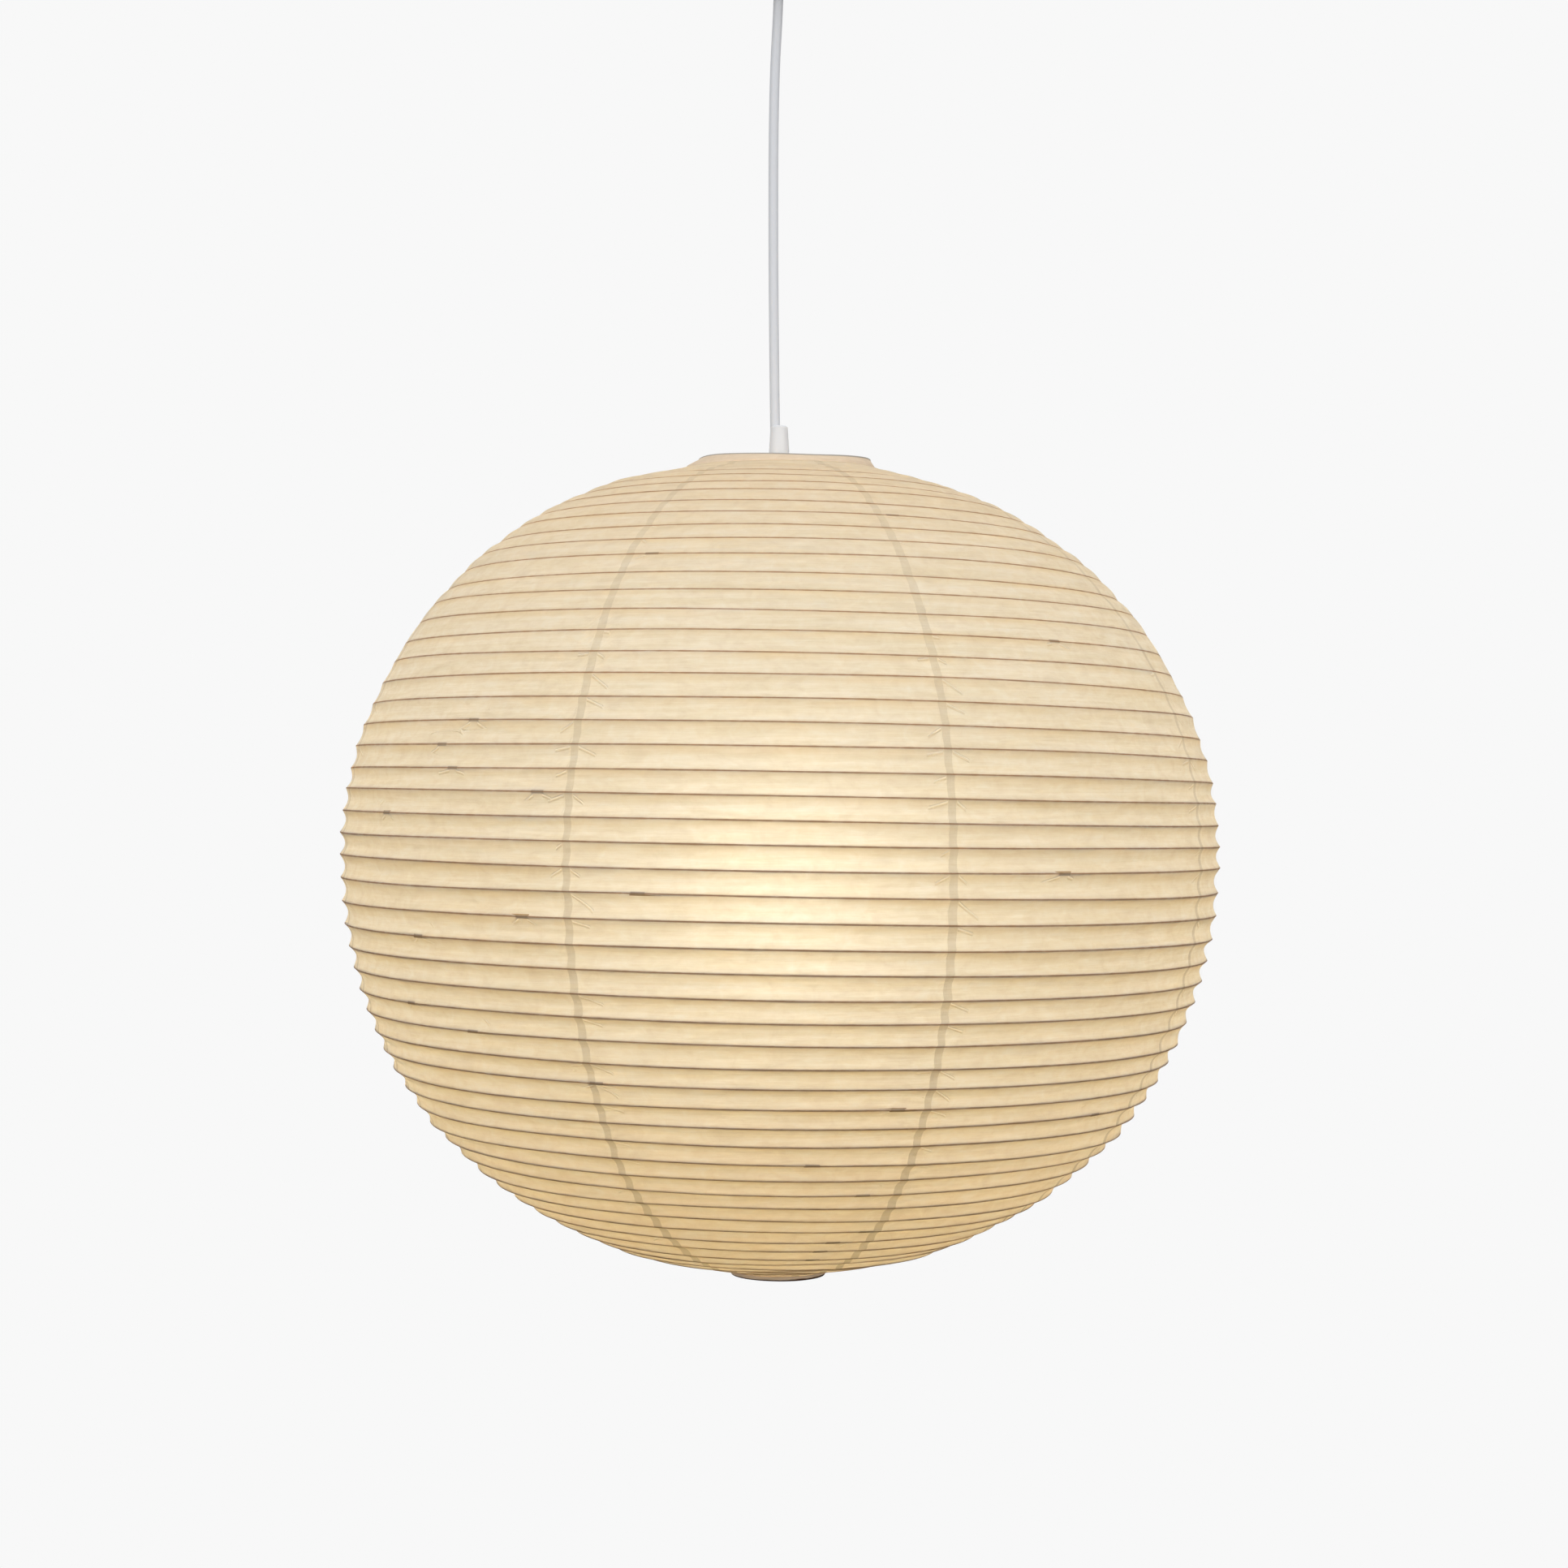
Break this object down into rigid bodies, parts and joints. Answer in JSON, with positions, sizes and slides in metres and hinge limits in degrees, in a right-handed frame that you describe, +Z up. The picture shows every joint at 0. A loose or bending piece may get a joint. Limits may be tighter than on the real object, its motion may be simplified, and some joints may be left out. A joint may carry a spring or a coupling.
{
  "type": "paper lantern pendant lamp",
  "caption": "Hanging pendant lamp with a round paper shade on bamboo hoops that folds flat, on a flex from a ceiling cup with a ball swivel.",
  "frame": {"origin": "middle of the ceiling bracket's upper face, on the ceiling plane", "axes": "+Z up, the lamp hanging below the origin on the Z axis; +X along the ceiling bracket; the side in the reference view faces -Y"},
  "size_m": [0.5498, 0.5498, 0.856],
  "materials": {
    "zinc_steel": "satin",
    "canopy_white": "satin",
    "terminal_plastic": "matte",
    "brass": "satin",
    "core_insulation": "satin",
    "nickel": "satin",
    "swivel_nylon": "satin",
    "cord_white": "satin",
    "grip_white": "satin",
    "holder_white": "gloss",
    "insulator_ceramic": "satin",
    "opal_globe": "satin",
    "bulb_white": "satin",
    "led_board": "satin",
    "bulb_cap_metal": "satin",
    "bulb_insulator": "gloss",
    "spider_wire": "satin",
    "collar_paper": "matte",
    "edge_tape": "matte",
    "shade_paper": "matte",
    "bamboo": "satin",
    "bottom_wood": "satin"
  },
  "bodies": {
    "ceiling_fitting": {"ceiling_bracket": "zinc_steel", "ceiling_canopy": "canopy_white", "canopy_screws": "zinc_steel", "terminal_block": "terminal_plastic", "terminal_screws": "brass", "core_wires": "core_insulation", "swivel_housing": "nickel", "housing_nut": "nickel", "swivel_retainer": "nickel"},
    "swivel_ring": {"swivel_race": "brass"},
    "pendant": {"swivel_ball": "swivel_nylon", "pendant_cord": "cord_white", "cord_grip": "grip_white", "grip_screw": "zinc_steel", "lampholder_barrel": "holder_white", "lampholder_cap": "holder_white", "lampholder_gland": "holder_white", "lampholder_ring": "holder_white", "lampholder_insert": "insulator_ceramic", "screw_shell": "brass", "centre_contact": "brass"},
    "shade": {"wire_spider": "spider_wire", "top_ring": "spider_wire", "top_collar": "collar_paper", "top_edge_tape": "edge_tape", "paper_gore_1": "shade_paper", "paper_gore_2": "shade_paper", "paper_gore_3": "shade_paper", "paper_gore_4": "shade_paper", "paper_gore_5": "shade_paper", "paper_gore_6": "shade_paper", "paper_gore_7": "shade_paper", "paper_gore_8": "shade_paper", "hoops_01_to_06": "bamboo", "hoops_07_to_12": "bamboo", "hoops_13_to_18": "bamboo", "hoops_19_to_24": "bamboo", "hoops_25_to_30": "bamboo", "hoops_31_to_36": "bamboo", "hoops_37_to_42": "bamboo", "hoops_43_to_48": "bamboo", "hoops_49_to_53": "bamboo"},
    "shade_base": {"bottom_collar": "bottom_wood", "bottom_ring": "spider_wire"},
    "bulb": {"bulb_globe": "opal_globe", "bulb_body": "bulb_white", "led_board": "led_board", "bulb_screw_cap": "bulb_cap_metal", "bulb_insulator": "bulb_insulator", "bulb_contact": "bulb_cap_metal"}
  },
  "joints": [
    {"name": "swing_x", "type": "hinge", "parent": "ceiling_fitting", "child": "swivel_ring", "pos_m": [0, 0, -0.03], "axis": [1, 0, 0], "range_deg": [-25, 25]},
    {"name": "swing_y", "type": "hinge", "parent": "swivel_ring", "child": "pendant", "pos_m": [0, 0, -0.03], "axis": [0, 1, 0], "range_deg": [-25, 25]},
    {"name": "shade_spin", "type": "hinge", "parent": "pendant", "child": "shade", "pos_m": [0, 0, -0.345], "axis": [0, 0, 1], "continuous": true},
    {"name": "shade_collapse", "type": "slide", "parent": "shade", "child": "shade_base", "axis": [0, 0, 1], "range_m": [0, 0.455], "deforming": ["paper_gore_1", "paper_gore_2", "paper_gore_3", "paper_gore_4", "paper_gore_5", "paper_gore_6", "paper_gore_7", "paper_gore_8", "hoops_01_to_06", "hoops_07_to_12", "hoops_13_to_18", "hoops_19_to_24", "hoops_25_to_30", "hoops_31_to_36", "hoops_37_to_42", "hoops_43_to_48", "hoops_49_to_53"]},
    {"name": "bulb_out", "type": "slide", "parent": "pendant", "child": "bulb", "axis": [0, 0, -1], "range_m": [0, 0.03]}
  ]
}
